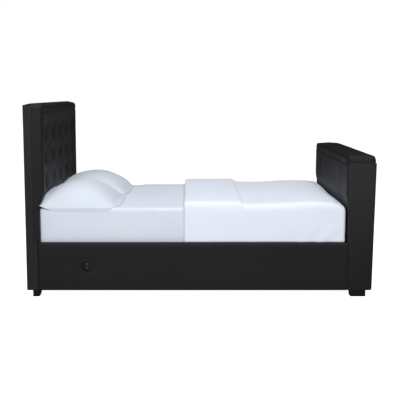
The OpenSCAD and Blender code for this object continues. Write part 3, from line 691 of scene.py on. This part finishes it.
# ---- Slatted base ----
# Sprung beech slats in rubbery holders, on battens at the sides and a steel tube down the middle
# that stands on three legs. Powder-coated brackets and zinc-plated bolts hold the rails.
powder_coat = Finish("powder_coat", Specular_IOR_Level=0.45)
orange_peel = powder_coat.cloud(260.0, 2.0)
scuffs = powder_coat.cloud(14.0, 5.0, 0.7)
powder_coat.feed("Base Color", powder_coat.mix(scuffs, (0.010, 0.010, 0.011), (0.026, 0.026, 0.028)))
powder_coat.feed("Roughness", 0.42 + scuffs * 0.18)
powder_coat.relief(orange_peel, 0.0003, 0.5)
dress(bare_metal("zinc_plate", (0.62, 0.63, 0.64), 0.26), "rail_bolts", "centre_rail_brackets")
dress(powder_coat, "rail_brackets", "centre_rail", "centre_legs", "lift_mounting_plate",
      "lift_top_plate", "tv_bracket", "lid_arms")
holder_plastic = moulded_plastic("holder_plastic", (0.010, 0.010, 0.011), (0.022, 0.022, 0.024), 0.5)
dress(holder_plastic, "centre_leg_glides", "side_slat_holders", "centre_slat_holders",
      "lift_control_box", "power_inlet")
dress(sawn_wood("beech_slat", (0.66, 0.47, 0.28), (0.48, 0.31, 0.16), (1, 0.06, 1), 40.0),
      "slats_left", "slats_right")

# ---- Footboard upholstery ----
# Three leather pads on the inner face, a thicker one on the outer face, padded ends, and a soft
# cap in three lengths whose ends roll over. The middle length is the lid that the lift raises.
cap_low, cap_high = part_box("footboard_cap_right")
lid_low, lid_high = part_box("lid_cap")
end_low, end_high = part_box("footboard_end_covers")
outer_low, outer_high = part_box("footboard_outer_cover")
inner_pad_out = 0.0115

for place in ("right", "centre", "left"):
    node = "footboard_pad_" + place
    low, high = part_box(node)
    low = low + Vector((0, 0.0005, 0))
    high = high - Vector((0.0003, 0.0005, 0.0008))
    bm = cut_block(low, high, 0.012)
    round_off(bm, low, high, (0.007, 0, 0.005, 0.005, 0.004, 0.005))
    for vert in bm.verts:
        x, y, z = vert.co
        face = smooth(x, high.x, low.x + 0.002)
        inside = min(y - low.y, high.y - y, z - low.z, high.z - z)
        sunk = 0.0012 * (1 - smooth(inside, 0.0, 0.055))
        sunk += 0.0007 * (1 + ripple(4, y * 6, z * 5))
        sunk -= inner_pad_out * smooth(z, 0.575, 0.660)
        vert.co.x += sunk * face
    bmesh.ops.recalc_face_normals(bm, faces=bm.faces)
    piece("inner_pad_" + place + "_leather", bm, pad_leather, "bed", [node])

# The outer face leans out from the floor end up to the cap
lean_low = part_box("footboard_outer_board")[1].x + 0.013
lean_high = outer_high.x


def outer_face(z):
    """Where the footboard's outer face lies at a height."""
    return lean_low + (lean_high - lean_low) * (z - outer_low.z) / (outer_high.z - outer_low.z)


low = Vector((outer_low.x + 0.0003, outer_low.y, outer_low.z))
high = Vector((outer_high.x, outer_high.y, outer_high.z - 0.0008))
bm = cut_block(low, high, 0.016)
round_off(bm, low, high, (0, 0.005, 0, 0, 0.006, 0.002))
for vert in bm.verts:
    x, y, z = vert.co
    out = (x - low.x) / (high.x - low.x)
    vert.co.x = low.x + out * (outer_face(z) - low.x)
    sunk = 0.0010 * (1 + ripple(8, y * 4, z * 4))
    sunk += 0.0012 * (1 + ripple(5, y * 22, z * 1.5)) * smooth(abs(y), 0.60, 0.71)
    vert.co.x -= sunk * smooth(out, 0.3, 1.0)
bmesh.ops.recalc_face_normals(bm, faces=bm.faces)
piece("footboard_outer_leather", bm, leather, "bed", ["footboard_outer_cover"])

# The ends' leather is painted lighter towards the top, as painted light.
end_leather_painted_light = black_leather("end_leather_painted_light", painted_top_light=0.5)
for side, name in ((-1, "right"), (1, "left")):
    low = Vector((end_low.x, outer_high.y + 0.0003, end_low.z))
    high = Vector((end_high.x, end_high.y, end_high.z - 0.0002))
    bm = cut_block(low, high, 0.010)
    cut_across(bm, 2, pad_low.z - 0.0005)
    cut_across(bm, 2, pad_low.z + 0.0005)
    round_off(bm, low, high, (0.014, 0.016, 0, 0.0075, 0.003, 0))
    for vert in bm.verts:
        x, y, z = vert.co
        start = end_low.x if z > pad_low.z else rail_high.x
        along = (x - low.x) / (high.x - low.x)
        vert.co.x = start + along * (outer_face(z) - start)
        wave = ripple(x * 12, side * 2, z * 4)
        crease = ripple(x * 60, side * 7, z * 3) * smooth(along, 0.55, 0.95)
        sunk = 0.0011 * (1 + wave) + 0.0010 * (1 + crease) + 0.0012 * ridge(along, 0.90, 0.03)
        sunk *= smooth(high.z - z, 0.0, 0.05)
        vert.co.y = side * max(vert.co.y - sunk * smooth(y, low.y, high.y), low.y)
    bmesh.ops.recalc_face_normals(bm, faces=bm.faces)
    piece("footboard_end_leather_" + name, bm, end_leather_painted_light, "bed", ["footboard_end_covers"])

cap_inner, cap_outer, cap_top = 0.008, 0.022, 0.034
cap_roll, cap_seam = 0.042, 0.0030
cap_crown, cap_overhang = 0.0065, 0.0125


def cap_length(name, node, body, low, high, rolled):
    """One length of the padded cap. rolled is the end that rolls over: -1, 1 or 0 for none."""
    bm = cut_block(low, high, 0.009)
    round_off(bm, low, high, (cap_inner, cap_outer, cap_roll if rolled < 0 else cap_seam,
                              cap_roll if rolled > 0 else cap_seam, 0, cap_top), 2.1)
    for vert in bm.verts:
        x, y, z = vert.co
        top = smooth(z, low.z + 0.012, high.z)
        crown = cap_crown * math.sin(math.pi * smooth(x, cap_low.x, cap_high.x))
        crown *= 0.6 + 0.4 * smooth(abs(y), 0.72, 0.45)
        swell = 0.0016 * ripple(x * 10, y * 5, 6) + 0.0006 * ripple(x * 40, y * 20, z * 30)
        ends = min(y - low.y, high.y - y)
        tuck = 0.0025 * (1 - smooth(ends, 0.0, 0.035)) if not rolled else 0.0
        vert.co.z += (crown + swell - tuck) * top
        aside = x - (low.x + high.x) / 2
        side = smooth(abs(aside), 0.060, (high.x - low.x) / 2) * smooth(z, low.z, low.z + 0.01)
        vert.co.x -= math.copysign(0.0012 + 0.0010 * ripple(3, y * 8, z * 20), aside) * side
        overhang = smooth(x, low.x + 0.04, low.x) * smooth(abs(y), 0.722, 0.655)
        vert.co.x -= cap_overhang * overhang * smooth(z, cap_low.z - 0.008, cap_low.z + 0.004)
        if rolled and ends < 0.10:
            gather = math.sin(220 * math.atan2(z - low.z + 0.02, x - low.x + 0.02) / math.tau)
            vert.co.y -= rolled * 0.0006 * (1 + gather) * smooth(ends, 0.05, 0.0)
    bmesh.ops.recalc_face_normals(bm, faces=bm.faces)
    return piece(name, bm, leather, body, [node])


for node, name, rolled in (("footboard_cap_right", "cap_leather_right", -1),
                           ("footboard_cap_left", "cap_leather_left", 1)):
    cap_length(name, node, "bed", *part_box(node), rolled)
lid_low.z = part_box("lid_board")[0].z
cap_length("lid_leather", "lid_cap", "lift_carriage", lid_low, lid_high, 0)

# ---- Television lift ----
# A steel column with two telescoping stages behind the inner board, driven by a motor and a
# threaded spindle that turns in a bronze nut. The stages slide dry on their plated faces.
dress(bare_metal("brushed_steel", (0.56, 0.57, 0.59), 0.24, (1, 1, 0.04)),
      "lift_column", "lift_middle_stage", "lift_inner_stage")
dress(bare_metal("spindle_steel", (0.48, 0.48, 0.50), 0.22, (0.1, 0.1, 4)), "lift_spindle")
dress(bare_metal("bronze", (0.62, 0.44, 0.20), 0.28), "lift_nut")
dress(moulded_plastic("motor_casing", (0.03, 0.03, 0.033), (0.05, 0.05, 0.055), 0.4), "lift_motor")

# ---- Mattress ----
# A sprung mattress in knitted ticking, under a fitted cotton sheet whose elastic hem turns in
# under it all round. The sheet is cut with its four corners taken out. The head end presses a
# little way into the headboard's pad.


def white_cotton(name, low, high, crumple=0.0010):
    """Pressed cotton: a fine plain weave over slow soft crumples."""
    thread = 0.0011
    cotton = Finish(name, Specular_IOR_Level=0.15, Sheen_Weight=0.15, Sheen_Roughness=0.5)
    tone = cotton.cloud(5.0, 4.0)
    cotton.feed("Base Color", cotton.mix(tone, low, high))
    waves = []
    for across in ("X", "Y", "Z"):
        waves.append(cotton.node("ShaderNodeTexWave", {"bands_direction": across},
                                 {"Vector": cotton.place, "Scale": 0.31 / thread}))
    cotton.feed("Roughness", 0.78 + tone * 0.1)
    weave = (waves[0] + waves[1] + waves[2]) * 0.1
    cotton.relief(weave + cotton.cloud(11.0, 4.0, 0.55) * (crumple * 1000), 0.0012, 0.5)
    return cotton


ticking = Finish("knitted_ticking", Specular_IOR_Level=0.15, Sheen_Weight=0.1)
knit = ticking.cells(260.0, "DISTANCE_TO_EDGE")
ticking.feed("Base Color", ticking.mix(ticking.cloud(20.0), (0.62, 0.62, 0.60), (0.72, 0.72, 0.70)))
ticking.feed("Roughness", 0.8 + knit * 0.1)
ticking.relief(knit, 0.0006, 0.6)
pillow_low, pillow_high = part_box("pillow_left")
duvet_low, duvet_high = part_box("duvet")
fold_x = duvet_low.x + 0.362
head_reach = 0.010


def far_swell(x, y):
    """How much fuller the bedding is on its left half, between the pillows and the fold."""
    along = smooth(x, pillow_high.x, pillow_high.x + 0.12)
    along *= smooth(x, fold_x + 0.10, fold_x - 0.06)
    return 0.008 * smooth(y, 0.0, 0.45) * along


sheet_gap = 0.0016
mattress_low = mattress_low - Vector((head_reach, 0, 0))
inset = Vector((sheet_gap, sheet_gap, sheet_gap))
low, high = mattress_low + inset, mattress_high - inset
bm = cut_block(low, high, 0.035)
round_off(bm, low, high, (0.012, 0.022, 0.026, 0.026, 0.016, 0.020))
for vert in bm.verts:
    x, y, z = vert.co
    if z > high.z - 0.002:
        quilting = 0.0006 * (1 + math.sin(x * 28) * math.sin(y * 28))
        vert.co.z += far_swell(x, y) - quilting
piece("mattress_core", bm, ticking, "bed", ["mattress"])

# The sheet's cotton is painted darker than the duvet's, as painted shade on the recessed sheet.
sheet_cotton_painted_shade = white_cotton("sheet_cotton_painted_shade", (0.65, 0.70, 0.79), (0.71, 0.76, 0.85))
turn_under = 0.060
sheet_edge, sheet_top = 0.028, 0.022
bm = cut_block(mattress_low, mattress_high, 0.009)
middle = []
for face in bm.faces:
    place = face.calc_center_median()
    under = place.z < mattress_low.z + 1e-5
    between = mattress_low.x + turn_under < place.x < mattress_high.x - turn_under
    if under and between and abs(place.y) < mattress_high.y - turn_under:
        middle.append(face)
bmesh.ops.delete(bm, geom=middle, context="FACES")
round_off(bm, mattress_low, mattress_high, (0.014, 0.024, sheet_edge, sheet_edge, 0.018, sheet_top))
for vert in bm.verts:
    x, y, z = vert.co
    side = smooth(abs(y), mattress_high.y - 0.006, mattress_high.y)
    streak = ripple((x + 0.9 * z) * 16, 4, (z - 0.5 * x) * 4)
    low_part = smooth(z, mattress_high.z - 0.03, mattress_low.z + 0.05)
    near_duvet = 0.4 + 0.6 * smooth(x, -0.75, -0.20)
    vert.co.y += math.copysign(0.0016, y) * (streak - 0.6) * side * low_part * near_duvet
    vert.co.z += far_swell(x, y) * smooth(z, mattress_high.z - 0.10, mattress_high.z - sheet_top)
    if z > mattress_high.z - 0.002:
        vert.co.z -= 0.0012 * (0.6 + ripple(x * 5, y * 4, 1))
bmesh.ops.recalc_face_normals(bm, faces=bm.faces)
fitted = piece("fitted_sheet", bm, sheet_cotton_painted_shade, "bed", [])
cloth = fitted.modifiers.new("cloth", "SOLIDIFY")
cloth.thickness = 0.0006
cloth.offset = -1

# ---- Duvet ----
# A cotton cover over light wadding, laid flat over the foot two thirds of the mattress and
# tucked straight down at the sides, with its head end folded back in a crisp band.
duvet_cotton = white_cotton("duvet_cotton", (0.74, 0.79, 0.89), (0.80, 0.85, 0.95))
band_rise = 0.016
cover_top = duvet_high.z - band_rise
cover_y = duvet_high.y - 0.001
roll = 0.011
tail_z = 0.405
head_drift = 0.018
low = Vector((duvet_low.x + roll, -cover_y, duvet_low.z))
high = Vector((duvet_high.x, cover_y, cover_top))
bm = cut_block(low, high, 0.011)
gone = []
for face in bm.faces:
    place = face.calc_center_median()
    under = place.z < low.z + 1e-5
    head_end = place.x < low.x + 1e-5
    below_tail = place.x > high.x - 1e-5 and place.z < tail_z
    if under or head_end or below_tail:
        gone.append(face)
bmesh.ops.delete(bm, geom=gone, context="FACES")
round_off(bm, low, high, (0, 0.014, 0.040, 0.040, 0, 0.046))
for vert in bm.verts:
    x, y, z = vert.co
    fall = (0.020 - 0.013 * smooth(y, 0.0, 0.5)) * smooth(x, high.x - 0.070, high.x + 0.005)
    fall += 0.006 * smooth(-y, 0.45, 0.66) * smooth(x, 0.70, 0.86) - 0.014 * ridge(x, 0.72, 0.20)
    vert.co.z -= fall * smooth(z, 0.48, cover_top)
    band = smooth(x, fold_x + 0.006, fold_x - 0.008)
    level = smooth(z, cover_top - 0.050, cover_top - 0.010)
    side = smooth(abs(y), cover_y - 0.040, cover_y - 0.004)
    soft = ripple(x * 5, y * 4, z * 5)
    drag = ripple((x - 0.8 * z) * 18, 3, (z + 0.5 * x) * 4)
    foot = smooth(x, 0.45, 0.80) * smooth(z, 0.50, 0.38)
    bulge = 0.0028 * band + 0.0016 * soft - 0.0012 + 0.0036 * (drag - 0.3) * foot
    vert.co.y += math.copysign(bulge, y) * side
    vert.co.x -= head_drift * smooth(x, fold_x, low.x) * smooth(y, -0.70, 0.70)
    vert.co.z += (band_rise * band + 0.0030 * soft + far_swell(x, y)) * level
edges = [e for e in bm.edges if e.is_boundary and max(v.co.x for v in e.verts) < low.x + 1e-4]
under_y, under_z = mattress_high.y + 0.0075, mattress_high.z + 0.0075
turn_steps = 7
for k in range(1, turn_steps + 1):
    grown = bmesh.ops.extrude_edge_only(bm, edges=edges)["geom"]
    edges = edges_of(grown)
    before, after = ((1 - math.cos(math.pi * i / turn_steps)) / 2 for i in (k - 1, k))
    for vert in verts_of(grown):
        inner_y = math.copysign(min(abs(vert.co.y), under_y), vert.co.y)
        inner_z = min(vert.co.z, under_z + far_swell(low.x, vert.co.y))
        share = (after - before) / (1 - before)
        vert.co.y += (inner_y - vert.co.y) * share
        vert.co.z += (inner_z - vert.co.z) * share
        drift = head_drift * smooth(vert.co.y, -0.70, 0.70)
        vert.co.x = low.x - drift - roll * math.sin(math.pi * k / turn_steps)
grown = bmesh.ops.extrude_edge_only(bm, edges=edges)["geom"]
bmesh.ops.translate(bm, vec=(0.05, 0, 0), verts=verts_of(grown))
bmesh.ops.recalc_face_normals(bm, faces=bm.faces)
duvet = piece("duvet_cover", bm, duvet_cotton, "bed", ["duvet"], crease=60)
filling = duvet.modifiers.new("filling", "SOLIDIFY")
filling.thickness = 0.006
filling.offset = -1

# ---- Pillows ----
# Two plump pillows in cotton cases, laid side by side with their head ends pushed up against the
# headboard. Each case is sewn all round and cut a little full, so it crumples softly when filled.
# The pillows' cotton is painted darker than the duvet's, as painted shade on the pillows.
pillow_cotton_painted_shade = white_cotton("pillow_cotton_painted_shade", (0.60, 0.65, 0.735), (0.67, 0.72, 0.80), crumple=0.0018)
pillow_rise = {-1: 0.152, 1: 0.131}
seam_half = 0.0016
tip_along, tip_across, tip_up = 0.024, 0.022, 0.012


def pillow(side):
    """One pillow, from a block whose top is raised and whose rim is drawn down to its seam."""
    low, high = pillow_low, pillow_high
    crest = low.x + 0.214
    bm = cut_block(low, high, 0.011)
    for vert in bm.verts:
        u = 2 * (vert.co.x - low.x) / (high.x - low.x) - 1
        v = 2 * (vert.co.y - low.y) / (high.y - low.y) - 1
        w = 2 * (vert.co.z - low.z) / (high.z - low.z) - 1
        x = vert.co.x
        half = 0.330 if x < crest else high.x - crest
        along = max(0.0, 1 - ((x - crest) / half) ** 2)
        across = max(0.0, 1 - abs(v) ** 3.4) ** 0.62
        rise = pillow_rise[side] * along * across
        tip = smooth(u, -0.72, -1.0) * smooth(v, 0.55, 1.0)
        over = min(1.0, max(0.0, vert.co.y - 0.005 - (mattress_high.y - sheet_edge)) / sheet_edge)
        bend = sheet_top * (1 - math.sqrt(1 - over * over))
        seam = mattress_high.z + 0.0008 - bend * (1 - tip) + tip_up * tip
        top = max(rise + mattress_high.z, seam + 2 * seam_half)
        vert.co.z = seam + (top - seam) * (w + 1) / 2
        corner = (abs(u) * abs(v)) ** 6
        vert.co.y = low.y + (high.y - low.y) * (1 + v * (0.984 - 0.030 * corner)) / 2
        vert.co.y += tip_across * tip
        if u > 0:
            vert.co.x -= 0.040 * corner
        vert.co.x -= tip_along * tip
        vert.co.y *= side
    bmesh.ops.recalc_face_normals(bm, faces=bm.faces)
    return bm


def plump(made, pressure, cap):
    """Fills a piece with air for a moment, and keeps each point within cap of where it began."""
    before = [v.co.copy() for v in made.data.vertices]
    held = made.vertex_groups.new(name="seam")
    for vert in made.data.vertices:
        firm = vert.co.z < mattress_high.z + 0.018 or vert.co.x < pillow_low.x + 0.004
        held.add([vert.index], float(firm), "REPLACE")
    cloth = made.modifiers.new("cloth", "CLOTH")
    cloth.settings.quality = 6
    cloth.settings.mass = 0.25
    cloth.settings.tension_stiffness = 12
    cloth.settings.compression_stiffness = 12
    cloth.settings.shear_stiffness = 4
    cloth.settings.bending_stiffness = 0.05
    cloth.settings.use_pressure = True
    cloth.settings.uniform_pressure_force = pressure
    cloth.settings.shrink_min = -0.055
    cloth.settings.effector_weights.gravity = 0
    cloth.settings.vertex_group_mass = "seam"
    cloth.collision_settings.use_collision = False
    for frame_number in range(1, 21):
        scene.frame_set(frame_number)
    settled = made.evaluated_get(bpy.context.evaluated_depsgraph_get()).data
    after = [v.co.copy() for v in settled.vertices]
    made.modifiers.clear()
    made.vertex_groups.clear()
    for vert, old, new in zip(made.data.vertices, before, after):
        shift = new - old
        if shift.length > cap:
            shift *= cap / shift.length
        vert.co = old + shift
    scene.frame_set(1)


for side, name in ((-1, "right"), (1, "left")):
    case = piece("pillow_" + name + "_case", pillow(side), pillow_cotton_painted_shade, "bed",
                 ["pillow_" + name], crease=70)
    plump(case, pressure=4.0, cap=0.010)
    finer = case.modifiers.new("finer", "SUBSURF")
    finer.levels = 1
    finer.render_levels = 1
